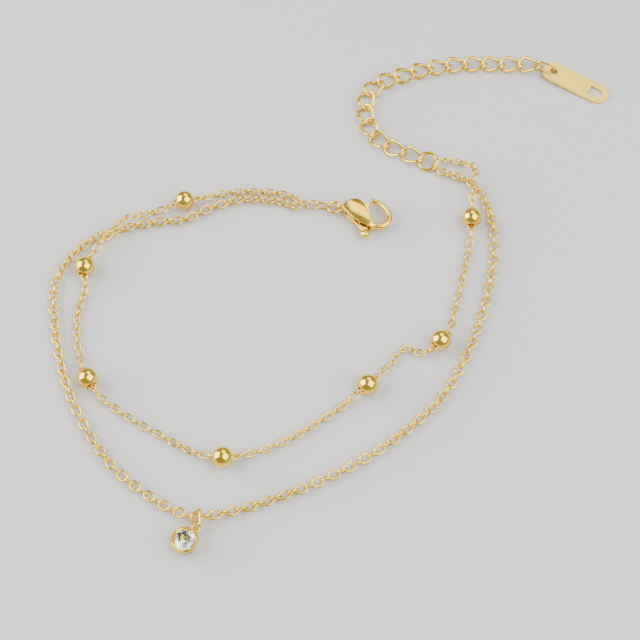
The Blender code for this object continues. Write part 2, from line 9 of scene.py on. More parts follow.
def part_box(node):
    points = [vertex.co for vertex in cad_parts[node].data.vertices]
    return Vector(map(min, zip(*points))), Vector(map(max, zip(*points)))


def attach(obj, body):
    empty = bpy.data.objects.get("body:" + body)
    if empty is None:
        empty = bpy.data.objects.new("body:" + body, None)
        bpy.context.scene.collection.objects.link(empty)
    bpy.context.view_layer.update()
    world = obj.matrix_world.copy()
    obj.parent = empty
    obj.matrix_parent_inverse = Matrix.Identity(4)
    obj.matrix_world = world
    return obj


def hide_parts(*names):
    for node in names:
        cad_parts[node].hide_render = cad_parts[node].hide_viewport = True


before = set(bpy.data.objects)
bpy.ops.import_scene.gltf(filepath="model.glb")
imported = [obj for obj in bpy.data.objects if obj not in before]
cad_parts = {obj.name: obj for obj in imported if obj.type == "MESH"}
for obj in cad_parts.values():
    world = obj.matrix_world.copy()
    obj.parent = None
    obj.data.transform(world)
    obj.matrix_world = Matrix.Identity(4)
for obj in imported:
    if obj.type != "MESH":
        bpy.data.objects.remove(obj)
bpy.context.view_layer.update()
MM = 0.001

# Clasp body
# A lobster clasp, cast in steel and gold plated: a domed teardrop body with a slot down its
# middle plane for the lever, a round hook that runs out of its lower end, and an eye at its head.
# Its outlines are shares of the body's length, measured from the eye.
CLASP_EYE_PLACE = Vector((4.48, 6.45)) * MM
CLASP_TURN = math.radians(-54.7)
CLASP_BODY = 7.0 * MM
CLASP_THICK = 2.9 * MM
DOME_MIDDLE = Vector((0.47, -0.14)) * CLASP_BODY
DOME_TURN = math.radians(-29.5)
DOME_SIZE = (11.6 * MM, 6.4 * MM, CLASP_THICK)
SLOT = 1.4 * MM
EYE_D = 2.1 * MM
EYE_WIRE = 0.55 * MM
HOOK_WIRE = 1.15 * MM
PIN_D = 0.8 * MM
PIN_L = 0.86 * CLASP_THICK
CAST_GRAIN = 0.1 * MM
WELD_GAP = 0.001 * MM
OUTLINE_STEPS = 5
BODY_OUTLINE = [(0.08, 0.03), (0.21, 0.18), (0.40, 0.27), (0.57, 0.20), (0.70, -0.02),
                (0.85, -0.28), (1.0, -0.53), (0.89, -0.575), (0.65, -0.52), (0.41, -0.40),
                (0.21, -0.25), (0.08, -0.12)]
SLOT_OUTLINE = [(0.17, -0.06), (0.37, 0.05), (0.51, 0.05), (0.57, 0.10), (0.57, 0.245),
                (0.70, 0.24), (0.86, 0.17), (1.08, -0.23), (1.04, -0.33), (0.905, -0.39),
                (0.90, -0.94), (0.03, -0.94), (0.03, -0.20), (0.16, -0.165)]
HOOK_LINE = [(0.88, -0.46), (1.01, -0.475), (1.11, -0.47), (1.27, -0.42), (1.36, -0.29),
             (1.375, -0.13), (1.31, 0.03), (1.17, 0.19), (1.0, 0.295), (0.86, 0.33), (0.785, 0.34)]
HOOK_TAPER = [1.0, 1.05, 1.05, 1.05, 1.0, 0.98, 0.98, 0.98, 0.98, 0.92, 0.75]
PIVOT = Vector((0.68, -0.29)) * CLASP_BODY
POLISH_DEEP = (0.95, 0.61, 0.05, 1.0)
POLISH_LIGHT = (1.0, 0.74, 0.10, 1.0)
POLISH_CLOUDING = {"scale": 700.0, "detail": 3.0}
POLISH_HAIRLINES = {"scale": 4200.0, "detail": 4.0}
POLISH_GLOSS = (0.09, 0.20)
POLISH_RELIEF = 0.12
MARKS_REACH = (0.3, 0.7)
MARKS_DEPTH = 0.01 * MM


def pick(obj):
    """Select this piece alone, so that the next operator works on it."""
    bpy.ops.object.select_all(action="DESELECT")
    obj.select_set(True)
    bpy.context.view_layer.objects.active = obj


def put_down(name, data):
    """Put a new piece on the bench, made of this mesh, curve or camera."""
    obj = bpy.data.objects.new(name, data)
    bpy.context.scene.collection.objects.link(obj)
    pick(obj)
    return obj


def work(obj, kind, **settings):
    """Add one modifier with these settings and apply it."""
    modifier = obj.modifiers.new(kind.lower(), kind)
    for setting, value in settings.items():
        setattr(modifier, setting, value)
    pick(obj)
    bpy.ops.object.modifier_apply(modifier=modifier.name)


def combine(obj, operation, tool):
    """Cut a piece with a tool or weld the tool on, and take the tool away."""
    work(obj, "BOOLEAN", operation=operation, solver="EXACT", object=tool)
    bpy.data.objects.remove(tool)


def smooth(obj):
    """Smooth shading all over a round piece."""
    pick(obj)
    bpy.ops.object.shade_smooth()


def settle(obj, matrix):
    """Put a piece in its place in the anklet, with the place kept in its mesh."""
    obj.matrix_world = matrix
    pick(obj)
    bpy.ops.object.transform_apply(location=True, rotation=True, scale=True)


def clasp_points(shares):
    """Points of the clasp in metres, from shares of its body."""
    return [Vector(share) * CLASP_BODY for share in shares]


def flowing(corners):
    """A smooth closed outline through these corners."""
    outline = []
    for i in range(len(corners)):
        p0, p1, p2, p3 = (corners[(i + k) % len(corners)] for k in (-1, 0, 1, 2))
        for step in range(OUTLINE_STEPS):
            t = step / OUTLINE_STEPS
            bend = (p2 - p0) * t + (p0 * 2 - p1 * 5 + p2 * 4 - p3) * t * t
            bend += (p1 * 3 - p0 - p2 * 3 + p3) * t * t * t
            outline.append(p1 + bend * 0.5)
    return outline


def drawn_plate(name, outlines, thickness):
    """A flat plate sawn to an outline, with its holes, its middle plane on the ground plane."""
    curve = bpy.data.curves.new(name, "CURVE")
    curve.dimensions = "2D"
    curve.fill_mode = "BOTH"
    curve.extrude = thickness / 2
    for outline in outlines:
        spline = curve.splines.new("POLY")
        spline.points.add(len(outline) - 1)
        for corner, point in zip(spline.points, outline):
            corner.co = (*point, 0.0, 1.0)
        spline.use_cyclic_u = True
    put_down(name, curve)
    bpy.ops.object.convert(target="MESH")
    bpy.ops.object.mode_set(mode="EDIT")
    bpy.ops.mesh.select_all(action="SELECT")
    bpy.ops.mesh.remove_doubles(threshold=WELD_GAP)
    bpy.ops.mesh.normals_make_consistent(inside=False)
    bpy.ops.object.mode_set(mode="OBJECT")
    return bpy.context.object


def drawn_wire(name, points, diameter, taper):
    """Round wire bent along a smooth line, thinner or thicker by its taper, its ends capped."""
    curve = bpy.data.curves.new(name, "CURVE")
    curve.dimensions = "3D"
    curve.bevel_depth = diameter / 2
    curve.bevel_resolution = 6
    curve.resolution_u = 5
    curve.use_fill_caps = True
    spline = curve.splines.new("BEZIER")
    spline.bezier_points.add(len(points) - 1)
    for knot, point, share in zip(spline.bezier_points, points, taper):
        knot.co = (*point, 0.0)
        knot.handle_left_type = "AUTO"
        knot.handle_right_type = "AUTO"
        knot.radius = share
    put_down(name, curve)
    bpy.ops.object.convert(target="MESH")
    return bpy.context.object


def domed_casting(name, outline):
    """The teardrop body: its outline cut from a flattened ball, so that both faces are domed."""
    casting = drawn_plate(name, [outline], CLASP_THICK)
    bpy.ops.mesh.primitive_uv_sphere_add(segments=64, ring_count=32, radius=0.5, scale=DOME_SIZE,
                                         location=(*DOME_MIDDLE, 0.0),
                                         rotation=(0.0, 0.0, DOME_TURN))
    combine(casting, "INTERSECT", bpy.context.object)
    return casting


def surface(name, **settings):
    """The surface of a piece, with the settings that are the same all over it."""
    material = bpy.data.materials.new(name)
    material.use_nodes = True
    for setting, value in settings.items():
        socket = material.node_tree.nodes["Principled BSDF"].inputs[setting.replace("_", " ")]
        socket.default_value = value
    return material


def marks(material, scale, detail=2.0):
    """Fine marks all over a piece, in the piece's own coordinates, as a share from 0 to 1."""
    tree = material.node_tree
    place = tree.nodes.new("ShaderNodeTexCoord")
    noise = tree.nodes.new("ShaderNodeTexNoise")
    noise.inputs["Scale"].default_value = scale
    noise.inputs["Detail"].default_value = detail
    tree.links.new(place.outputs["Object"], noise.inputs["Vector"])
    return noise.outputs["Fac"]


def tint(material, share, deep, light):
    """Colour that goes from a deep to a light tone with the marks."""
    tree = material.node_tree
    ramp = tree.nodes.new("ShaderNodeValToRGB")
    for stop, position, colour in zip(ramp.color_ramp.elements, MARKS_REACH, (deep, light)):
        stop.position = position
        stop.color = colour
    tree.links.new(share, ramp.inputs["Fac"])
    tree.links.new(ramp.outputs["Color"], tree.nodes["Principled BSDF"].inputs["Base Color"])


def vary_gloss(material, share, smoothest, roughest, reach=(0.0, 1.0)):
    """Gloss that goes from smoothest to roughest as the marks go through their reach."""
    tree = material.node_tree
    gloss = tree.nodes.new("ShaderNodeMapRange")
    gloss.inputs["From Min"].default_value = reach[0]
    gloss.inputs["From Max"].default_value = reach[1]
    gloss.inputs["To Min"].default_value = smoothest
    gloss.inputs["To Max"].default_value = roughest
    tree.links.new(share, gloss.inputs["Value"])
    tree.links.new(gloss.outputs["Result"], tree.nodes["Principled BSDF"].inputs["Roughness"])


def raise_marks(material, share, strength):
    """Relief that follows the marks."""
    tree = material.node_tree
    relief = tree.nodes.new("ShaderNodeBump")
    relief.inputs["Strength"].default_value = strength
    relief.inputs["Distance"].default_value = MARKS_DEPTH
    tree.links.new(share, relief.inputs["Height"])
    tree.links.new(relief.outputs["Normal"], tree.nodes["Principled BSDF"].inputs["Normal"])


def polished_gold():
    """Mirror-bright yellow gold plate, with faint clouding and hairline polishing marks."""
    material = surface("polished_gold_plate", Metallic=1.0)
    tint(material, marks(material, **POLISH_CLOUDING), POLISH_DEEP, POLISH_LIGHT)
    hairlines = marks(material, **POLISH_HAIRLINES)
    vary_gloss(material, hairlines, *POLISH_GLOSS, reach=MARKS_REACH)
    raise_marks(material, hairlines, POLISH_RELIEF)
    return material


GOLD = polished_gold()


def dress(obj, *replaced, body="anklet", material=GOLD, slot="polished_gold"):
    """Give a finished piece its surface, hang it on the body it rides on, and hide the frame's
    parts that it replaces.
    """
    obj.data.materials.clear()
    obj.data.materials.append(material)
    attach(obj, body)
    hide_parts(*replaced)


clasp_place = (Matrix.Translation((*CLASP_EYE_PLACE, CLASP_THICK / 2))
               @ Matrix.Rotation(CLASP_TURN, 4, "Z"))
clasp_body = domed_casting("clasp_body_cast", flowing(clasp_points(BODY_OUTLINE)))
combine(clasp_body, "DIFFERENCE", drawn_plate("slot", [clasp_points(SLOT_OUTLINE)], SLOT))
combine(clasp_body, "UNION", drawn_wire("hook", clasp_points(HOOK_LINE), HOOK_WIRE, HOOK_TAPER))
bpy.ops.mesh.primitive_torus_add(major_segments=32, minor_segments=12,
                                 major_radius=(EYE_D - EYE_WIRE) / 2, minor_radius=EYE_WIRE / 2,
                                 location=(0.0, 0.0, (EYE_D - CLASP_THICK) / 2),
                                 rotation=(math.pi / 2, 0.0, 0.0))
combine(clasp_body, "UNION", bpy.context.object)
bpy.ops.mesh.primitive_cylinder_add(vertices=24, radius=PIN_D / 2, depth=PIN_L,
                                    location=(*PIVOT, 0.0))
combine(clasp_body, "UNION", bpy.context.object)
work(clasp_body, "REMESH", mode="VOXEL", voxel_size=CAST_GRAIN)
work(clasp_body, "SMOOTH", factor=0.5, iterations=4)
smooth(clasp_body)
settle(clasp_body, clasp_place)
dress(clasp_body, "clasp_body")

# Clasp lever
# The lever is stamped from steel, plated and polished. It turns on the pin through the body's
# slot and closes with its nose inside the hook's tip. A rounded thumb tab under the body pulls
# it back, and a thin sprung arm runs from the tab along the mouth of the slot.
LEVER_THICK = 0.8 * MM
STAMP_GRAIN = 0.06 * MM
BORE_GAP = 0.3 * MM
LEVER_OUTLINE = [(0.62, 0.10), (0.64, 0.20), (0.74, 0.245), (0.79, 0.17), (0.76, 0.08),
                 (0.82, -0.09), (0.88, -0.24), (0.865, -0.38), (0.80, -0.52), (0.85, -0.67),
                 (0.84, -0.82), (0.76, -0.88), (0.68, -0.82), (0.645, -0.69), (0.54, -0.555),
                 (0.40, -0.415), (0.22, -0.26), (0.205, -0.225), (0.40, -0.365), (0.55, -0.50),
                 (0.59, -0.48), (0.50, -0.33), (0.52, -0.18), (0.60, -0.03)]
TAB_PLACES = [(0.81, -0.77), (0.735, -0.765)]
TAB_SIZES = [(1.45 * MM, 1.85 * MM, 1.5 * MM), (0.95 * MM, 1.35 * MM, 1.15 * MM)]


def arc(centre, radius, start, end, count):
    """Points along a round stretch of an outline."""
    angles = [start + (end - start) * i / count for i in range(count + 1)]
    return [(centre[0] + radius * math.cos(a), centre[1] + radius * math.sin(a)) for a in angles]


def round_hole(centre, radius, count):
    """A whole circle of points."""
    return arc(centre, radius, 0.0, 2 * math.pi, count)[:-1]


lever = drawn_plate("lever_stamped", [flowing(clasp_points(LEVER_OUTLINE))], LEVER_THICK)
bore = round_hole(PIVOT, PIN_D / 2 + BORE_GAP, 24)
combine(lever, "DIFFERENCE", drawn_plate("bore", [bore], 2 * LEVER_THICK))
for spot, size in zip(clasp_points(TAB_PLACES), TAB_SIZES):
    bpy.ops.mesh.primitive_uv_sphere_add(segments=24, ring_count=12, radius=0.5, scale=size,
                                         location=(*spot, 0.0))
    combine(lever, "UNION", bpy.context.object)
work(lever, "REMESH", mode="VOXEL", voxel_size=STAMP_GRAIN)
work(lever, "SMOOTH", factor=0.5, iterations=3)
smooth(lever)
settle(lever, clasp_place)
dress(lever, "clasp_lever", body="lever")

# Links at the clasp
# A round jump ring in the clasp's eye, then a long link on edge, a flat link and a last link on
# edge that both strands hang from: all bent from drawn steel wire, cut, closed and gold plated.
WIRE_ROUND = 1.155


def principal_frame(node, length_toward=None):
    """Place and size of a flat link or plate of the frame, its length along X, its face up."""
    spots = np.unique(np.round([v.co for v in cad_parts[node].data.vertices], 7), axis=0)
    middle = spots.mean(0)
    _, axes = np.linalg.eigh(np.cov((spots - middle).T))
    along, thick = axes[:, 2], axes[:, 0]
    if thick[2] < 0.0:
        thick = -thick
    if length_toward is not None and along @ (np.array(length_toward) - middle) < 0.0:
        along = -along
    turn = np.array([along, np.cross(thick, along), thick])
    reach = spots @ turn.T
    low, high = reach.min(0), reach.max(0)
    centre = Vector((low + high) / 2 @ turn)
    matrix = Matrix.Translation(centre) @ Matrix(turn).transposed().to_4x4()
    return matrix, high - low


def bent_ring(name, length, width, wire, around=32, sides=12):
    """A ring bent from wire and drawn out to an oval, its length along X."""
    bpy.ops.mesh.primitive_torus_add(major_segments=around, minor_segments=sides,
                                     major_radius=(width - wire) / 2, minor_radius=wire / 2)
    ring = bpy.context.object
    ring.name = name
    for side in (-1.0, 1.0):
        for vert in ring.data.vertices:
            vert.select = vert.co.x * side > WELD_GAP
        for edge in ring.data.edges:
            edge.select = False
        for face in ring.data.polygons:
            face.select = False
        bpy.ops.object.mode_set(mode="EDIT")
        bpy.ops.transform.translate(value=(side * (length - width) / 2, 0.0, 0.0))
        bpy.ops.object.mode_set(mode="OBJECT")
    smooth(ring)
    return ring


def ring_in_place(node, around=32, sides=12):
    """A bent ring of the same size and place as a link of the frame, its six-sided wire round."""
    matrix, (length, width, wire) = principal_frame(node)
    ring = bent_ring(node + "_wire", length, width, wire * WIRE_ROUND, around, sides)
    settle(ring, matrix)
    dress(ring, node)
    return ring


for node in ("clasp_ring", "clasp_link", "join_link_1", "join_link_2"):
    ring_in_place(node)

# Plain strand
# A fine cable chain: oval wire links, each at right angles to the next, soldered shut and
# gold plated. It lies loose: its links lean over a little to one side of the table, and turn a
# little from one stretch to the next.
PLAIN_ROUTE = [
    (-1.5, 12.9), (-3.0, 16.3), (-7.4, 21.4), (-12.9, 24.3), (-18.5, 26.0), (-23.3, 29.6),
    (-28.8, 33.0), (-35.0, 35.1), (-40.4, 34.6), (-45.9, 32.0), (-51.4, 25.2), (-56.9, 16.0),
    (-60.6, 5.9), (-62.2, -4.8), (-61.4, -12.2), (-59.9, -18.1), (-58.3, -21.2), (-56.0, -22.8),
    (-48.2, -27.0), (-39.5, -30.7), (-30.5, -33.5), (-20.3, -35.0), (-12.3, -35.0),
    (-3.7, -32.9), (7.0, -28.2), (16.4, -22.3), (22.4, -16.9), (25.4, -12.2), (26.9, -8.0),
    (26.2, -4.6), (24.8, -1.5)]
PLAIN_LINK = (2.48 * MM, 1.95 * MM, 0.45 * MM)
PLAIN_MIDDLE = 0.94 * MM
PLAIN_PHASE = 0.4
PENDANT_CHAIN_PLACE = Vector((-58.3, -21.2)) * MM
PENDANT_CHAIN_HEIGHT = 1.55 * MM
PENDANT_FLAT = 1.2 * MM
CLIMB = 6.5 * MM
CURVE_SPAN = 12
LINK_PLAY = 0.03 * MM
LINK_TURN = math.radians(90.0)
LINK_LEAN = math.radians(14.0)
LEAN_WAY = Vector((-1.0, -1.0, 0.0)).normalized()
WANDER_TURNS = (0.20, 0.14)
WANDER_LENGTHS = (5.3 * MM, 1.9 * MM)


def join(objs, name):
    """Make one piece of several."""
    pick(objs[0])
    for obj in objs[1:]:
        obj.select_set(True)
    bpy.ops.object.join()
    objs[0].name = name
    return objs[0]


def copy_of(model, name):
    """A copy of a model piece, with a mesh of its own."""
    return put_down(name, model.data.copy())


def smooth_line(pts):
    """Centripetal curve through the chosen points of a route."""
    pts = [pts[0] * 2 - pts[1]] + pts + [pts[-1] * 2 - pts[-2]]
    line = []
    for p0, p1, p2, p3 in zip(pts, pts[1:], pts[2:], pts[3:]):
        t1 = (p1 - p0).length ** 0.5
        t2 = t1 + (p2 - p1).length ** 0.5
        t3 = t2 + (p3 - p2).length ** 0.5
        for i in range(CURVE_SPAN):
            t = t1 + (t2 - t1) * i / CURVE_SPAN
            a1 = p0.lerp(p1, t / t1)
            a2 = p1.lerp(p2, (t - t1) / (t2 - t1))
            a3 = p2.lerp(p3, (t - t2) / (t3 - t2))
            b1 = a1.lerp(a2, t / t2)
            b2 = a2.lerp(a3, (t - t1) / (t3 - t1))
            line.append(b1.lerp(b2, (t - t1) / (t2 - t1)))
    line.append(pts[-2].copy())
    return line


class Strand:
    """A strand's middle line, from the link it hangs from to the link it ends on."""

    def __init__(self, points, first, last, base):
        route = smooth_line([Vector(p) * MM for p in points])
        self.line = [first.to_2d()] + route + [last.to_2d()]
        steps = [(b - a).length for a, b in zip(self.line, self.line[1:])]
        self.along = np.concatenate([[0.0], np.cumsum(steps)])
        self.length = float(self.along[-1])
        self.base = base
        self.rises = [(0.0, first.z, 0.0), (self.length, last.z, 0.0)]

    def rise(self, s, top, flat=0.0):
        """Lift the strand to a height, level for a stretch to both sides of a place on it."""
        self.rises.append((s, top, flat))

    def ground(self, s):
        """The place on the table under the strand."""
        i = min(max(int(np.searchsorted(self.along, s)) - 1, 0), len(self.line) - 2)
        share = (s - self.along[i]) / (self.along[i + 1] - self.along[i])
        return self.line[i].lerp(self.line[i + 1], share)

    def height(self, s):
        """The height of the strand's middle, which climbs to each rise on a soft slope."""
        best = self.base
        for middle, top, flat in self.rises:
            share = 1.0 - max(abs(s - middle) - flat, 0.0) / CLIMB
            if share > 0.0:
                best = max(best, self.base + (top - self.base) * share * share * (3 - 2 * share))
        return best

    def point(self, s):
        """The middle of the strand at a place on it."""
        spot = self.ground(s)
        return Vector((spot.x, spot.y, self.height(s)))

    def nearest(self, place):
        """How far along the strand it comes nearest a place."""
        return float(self.along[int(np.argmin([(p - place).length for p in self.line]))])


def link_end(node, near):
    """Middle of the wire at the end of a link of the frame that lies nearest a point."""
    matrix, size = principal_frame(node)
    ends = [matrix @ Vector((side * (size[0] - size[2]) / 2, 0.0, 0.0)) for side in (-1, 1)]
    return min(ends, key=lambda end: (end.to_2d() - near).length)


def cable_links(name, strand, start, end, link_size, phase):
    """Oval links from one place on a strand to another, joined as one length of chain."""
    length, _, wire = link_size
    pitch = length - 2 * wire - LINK_PLAY
    count = round((end - start) / pitch)
    model = bent_ring("link_model", *link_size, around=12, sides=6)
    links = []
    for i in range(count + 1):
        s = start + (end - start) * i / count
        ahead = strand.point(s + pitch / 2) - strand.point(s - pitch / 2)
        turn = ahead.to_track_quat("X", "Z").to_matrix().to_4x4()
        lean = LINK_LEAN * (turn.col[1].to_3d() @ LEAN_WAY)
        wander = sum(most * math.sin(s / span + phase)
                     for most, span in zip(WANDER_TURNS, WANDER_LENGTHS))
        roll = Matrix.Rotation(LINK_TURN * (i % 2) - lean + wander, 4, "X")
        link = copy_of(model, "link")
        link.data.transform(Matrix.Translation(strand.point(s)) @ turn @ roll)
        links.append(link)
    bpy.data.objects.remove(model)
    return join(links, name)


first_hang = link_end("join_link_2", Vector(PLAIN_ROUTE[0]) * MM)
plain_stop = link_end("plain_end_link", Vector(PLAIN_ROUTE[-1]) * MM)
plain = Strand(PLAIN_ROUTE, first_hang, plain_stop, PLAIN_MIDDLE)
plain.rise(plain.nearest(PENDANT_CHAIN_PLACE), PENDANT_CHAIN_HEIGHT, PENDANT_FLAT)
hang = PLAIN_LINK[0] / 2 - PLAIN_LINK[2] - LINK_PLAY
plain_links = cable_links("plain_strand_links", plain, hang, plain.length - hang, PLAIN_LINK,
                          PLAIN_PHASE)
dress(plain_links, "plain_chain")

# Beaded strand
# A still finer cable chain in eight lengths, its end links caught in the holes of seven round
# beads. The beads are hollow balls of plated steel, drilled through and polished like mirrors.
BEADED_ROUTE = [
    (0.1, 14.1), (-1.2, 17.2), (-4.1, 20.9), (-8.6, 24.9), (-13.0, 27.1), (-16.1, 28.7),
    (-20.4, 30.8), (-24.6, 33.0), (-27.8, 33.5), (-30.9, 32.8), (-34.6, 32.3), (-37.1, 32.0),
    (-39.5, 30.7), (-42.6, 27.2), (-46.0, 25.0), (-49.8, 21.0), (-53.1, 15.6), (-54.4, 12.2),
    (-55.0, 8.7), (-54.2, 2.5), (-52.2, -5.6), (-50.2, -12.2), (-47.8, -16.2), (-42.5, -19.3),
    (-36.9, -21.5), (-29.6, -23.0), (-23.7, -23.9), (-19.8, -24.2), (-14.1, -23.9),
    (-9.6, -23.4), (-8.4, -24.3), (-8.2, -26.0), (-6.9, -27.1), (-3.9, -27.3), (-1.2, -27.1),
    (1.5, -25.5), (8.5, -21.4), (15.9, -16.8), (20.2, -13.3), (23.2, -10.8), (25.9, -8.3),
    (28.4, -6.9), (29.6, -5.0), (29.0, -2.4), (27.1, -0.2)]
BEADED_LINK = (2.3 * MM, 1.5 * MM, 0.38 * MM)
BEADED_MIDDLE = 0.76 * MM
BEADED_PHASE = 1.1
BEAD_PLACES = [(-16.1, 28.7), (-39.5, 30.7), (-54.4, 12.2), (-47.8, -16.2), (-19.8, -24.2),
               (-3.9, -27.3), (20.2, -13.3)]
BEAD_D = 3.8 * MM
BEAD_HOLE_D = 1.6 * MM
BEAD_MOUTH = math.sqrt((BEAD_D / 2) ** 2 - (BEAD_HOLE_D / 2) ** 2)
BEAD_RIM = 0.09 * MM
CROSSINGS = [(-30.9, 32.8), (26.4, -8.0)]
CROSSING_HEIGHT = 2.45 * MM
CROSSING_FLAT = 2.0 * MM
SHARP_EDGE = math.radians(40.0)


def soften(obj):
    """Smooth shading that leaves the sharp edges sharp."""
    pick(obj)
    bpy.ops.object.shade_smooth_by_angle(angle=SHARP_EDGE)


def drilled_bead():
    """A round bead with its hole along Z, its rim eased by the drill."""
    bpy.ops.mesh.primitive_uv_sphere_add(segments=40, ring_count=24, radius=BEAD_D / 2)
    bead = bpy.context.object
    bpy.ops.mesh.primitive_cylinder_add(vertices=40, radius=BEAD_HOLE_D / 2, depth=3 * BEAD_MOUTH)
    combine(bead, "DIFFERENCE", bpy.context.object)
    work(bead, "BEVEL", width=BEAD_RIM, segments=2, limit_method="ANGLE", angle_limit=SHARP_EDGE)
    soften(bead)
    return bead


first_hang = link_end("join_link_2", Vector(BEADED_ROUTE[0]) * MM)
beaded_stop = link_end("beaded_end_link", Vector(BEADED_ROUTE[-1]) * MM)
beaded = Strand(BEADED_ROUTE, first_hang, beaded_stop, BEADED_MIDDLE)
bead_middles = [beaded.nearest(Vector(spot) * MM) for spot in BEAD_PLACES]
for s in bead_middles:
    beaded.rise(s, BEAD_D / 2)
for spot in CROSSINGS:
    beaded.rise(beaded.nearest(Vector(spot) * MM), CROSSING_HEIGHT, CROSSING_FLAT)
bead_model = drilled_bead()
reach = BEAD_MOUTH + BEADED_LINK[0]
for number, s in enumerate(bead_middles, 1):
    bead = copy_of(bead_model, f"bead_{number}_polished")
    ahead = beaded.point(s + reach) - beaded.point(s - reach)
    turn = ahead.to_track_quat("Z", "Y").to_matrix().to_4x4()
    settle(bead, Matrix.Translation(beaded.point(s)) @ turn)
    dress(bead, f"bead_{number}")
bpy.data.objects.remove(bead_model)
hang = BEADED_LINK[0] / 2 - BEADED_LINK[2] - LINK_PLAY
starts = [hang] + [s + BEAD_MOUTH for s in bead_middles]
ends = [s - BEAD_MOUTH for s in bead_middles] + [beaded.length - hang]
for number, (start, end) in enumerate(zip(starts, ends), 1):
    name = f"beaded_strand_links_{number}"
    links = cable_links(name, beaded, start, end, BEADED_LINK, BEADED_PHASE + number)
    dress(links, f"beaded_chain_{number}")

# Pendant
# A jump ring stands over the plain strand and carries a round rub-over setting by its soldered
# loop. The setting's thin wall is rubbed over the edge of a clear round cut stone, whose
# pointed back is silvered so that it throws the light up again.
SETTING_D = 4.65 * MM
SETTING_BASE_D = 3.5 * MM
SETTING_H = 2.4 * MM
SETTING_WALL = 0.22 * MM
SETTING_FLOOR = 0.35 * MM
SETTING_STEPS = 64
RIM_OFFSETS = [(-0.55, -0.22), (-0.50, -0.13), (-0.42, -0.12), (-0.36, -0.18), (-0.33, -0.10),
               (-0.24, 0.02), (-0.12, 0.04), (-0.03, -0.03), (0.0, -0.14), (-0.02, -0.4)]
FOOT_OFFSETS = [(0.1, 0.12), (-0.05, 0.0)]
LOOP_D = 1.75 * MM
LOOP_WIRE = 0.45 * MM
LOOP_MIDDLE = 1.3 * MM
LOOP_REACH = 0.15 * MM
PENDANT_LEAN = math.radians(27.0)
PENDANT_AXIS = Vector((1.0, 1.0, 0.0)).normalized()
STONE_D = 3.92 * MM
STONE_CROWN = 0.56 * MM
STONE_GIRDLE = 0.08 * MM
STONE_DEPTH = 1.5 * MM
GIRDLE_BELOW_RIM = 0.45 * MM
SEAT_BELOW_GIRDLE = 0.3 * MM
STONE_ROWS = [(1, 0.0, -STONE_DEPTH, 0.0),
              (8, 0.56, STONE_GIRDLE + STONE_CROWN, 0.5),
              (8, 0.80, STONE_GIRDLE + 0.62 * STONE_CROWN, 0.0),
              (16, 1.0, STONE_GIRDLE, 0.0),
              (16, 1.0, 0.0, 0.0),
              (8, 0.30, -0.74 * STONE_DEPTH, 0.5)]
PAVILION_SLOPE = -0.2
CLEAR_LINES = 0.02
SILVER_LINES = 0.25
LINES_SCALE = 900.0
SILVER_COLOUR = (0.95, 0.95, 0.94, 1.0)
WHITE = (1.0, 1.0, 1.0, 1.0)
STONE_IOR = 1.9


def turned(name, profile):
    """A profile of radius and height, its outer side top to bottom, turned round Z."""
    mesh = bpy.data.meshes.new(name)
    edges = [(i, i + 1) for i in range(len(profile) - 1)]
    mesh.from_pydata([(radius, 0.0, height) for radius, height in profile], edges, [])
    obj = put_down(name, mesh)
    work(obj, "SCREW", axis="Z", steps=SETTING_STEPS, render_steps=SETTING_STEPS,
         use_merge_vertices=True, merge_threshold=WELD_GAP, use_normal_calculate=True)
    return obj


def setting_profile(girdle):
    """The setting's section: over the rubbed rim, down the wall, over the foot and up inside."""
    radius = SETTING_D / 2
    base = SETTING_BASE_D / 2
    rim = [(radius + across * MM, SETTING_H + above * MM) for across, above in RIM_OFFSETS]
    foot = [(base + across * MM, above * MM) for across, above in FOOT_OFFSETS]
    inside = [(0.0, 0.0), (0.0, SETTING_FLOOR), (base - 2 * SETTING_WALL, SETTING_FLOOR),
              (rim[0][0], girdle - SEAT_BELOW_GIRDLE)]
    return rim + foot + inside + [rim[0]]


def cut_stone(name):
    """Round brilliant cut: table, star, kite and girdle facets over a sixteen-facet pavilion.

    A row of the stone has its number of corners, their share of the radius, height and turn.
    """
    spots = []
    for corners, share, height, offset in STONE_ROWS:
        out = STONE_D / 2 * share
        for i in range(corners):
            angle = 2 * math.pi * (i + offset) / corners
            spots.append((out * math.cos(angle), out * math.sin(angle), height))
    mesh = bpy.data.meshes.new(name)
    mesh.from_pydata(spots, [], [])
    stone = put_down(name, mesh)
    bpy.ops.object.mode_set(mode="EDIT")
    bpy.ops.mesh.select_all(action="SELECT")
    bpy.ops.mesh.convex_hull()
    bpy.ops.object.mode_set(mode="OBJECT")
    return stone


def facet_finish(name, roughest, **settings):
    """A polished facet surface, its gloss broken a little by fine polishing lines."""
    material = surface(name, **settings)
    vary_gloss(material, marks(material, LINES_SCALE), 0.0, roughest)
    return material


ring = ring_in_place("pendant_ring")
ring_low, ring_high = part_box("pendant_ring")
ring_centre = (ring_low + ring_high) / 2
settle(ring, Matrix.Translation(ring_centre) @ Matrix.Rotation(PENDANT_LEAN, 4, PENDANT_AXIS)
       @ Matrix.Translation(-ring_centre))
cup_low, cup_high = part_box("pendant_stone")
cup_centre = (cup_low + cup_high) / 2
girdle = SETTING_H - GIRDLE_BELOW_RIM
setting = turned("rub_over_setting", setting_profile(girdle))
soften(setting)
settle(setting, Matrix.Translation((cup_centre.x, cup_centre.y, 0.0)))
loop = bent_ring("setting_loop", LOOP_D, LOOP_D, LOOP_WIRE)
loop_spot = ring_centre - PENDANT_AXIS * (ring_high.z - ring_low.z - LOOP_WIRE) / 2
loop_spot += (cup_centre - loop_spot).to_2d().normalized().to_3d() * LOOP_REACH
settle(loop, Matrix.Translation((loop_spot.x, loop_spot.y, LOOP_MIDDLE)))
dress(join([setting, loop], "rub_over_setting"), "pendant_setting")
stone = cut_stone("round_cut_stone")
settle(stone, Matrix.Translation((cup_centre.x, cup_centre.y, girdle)))
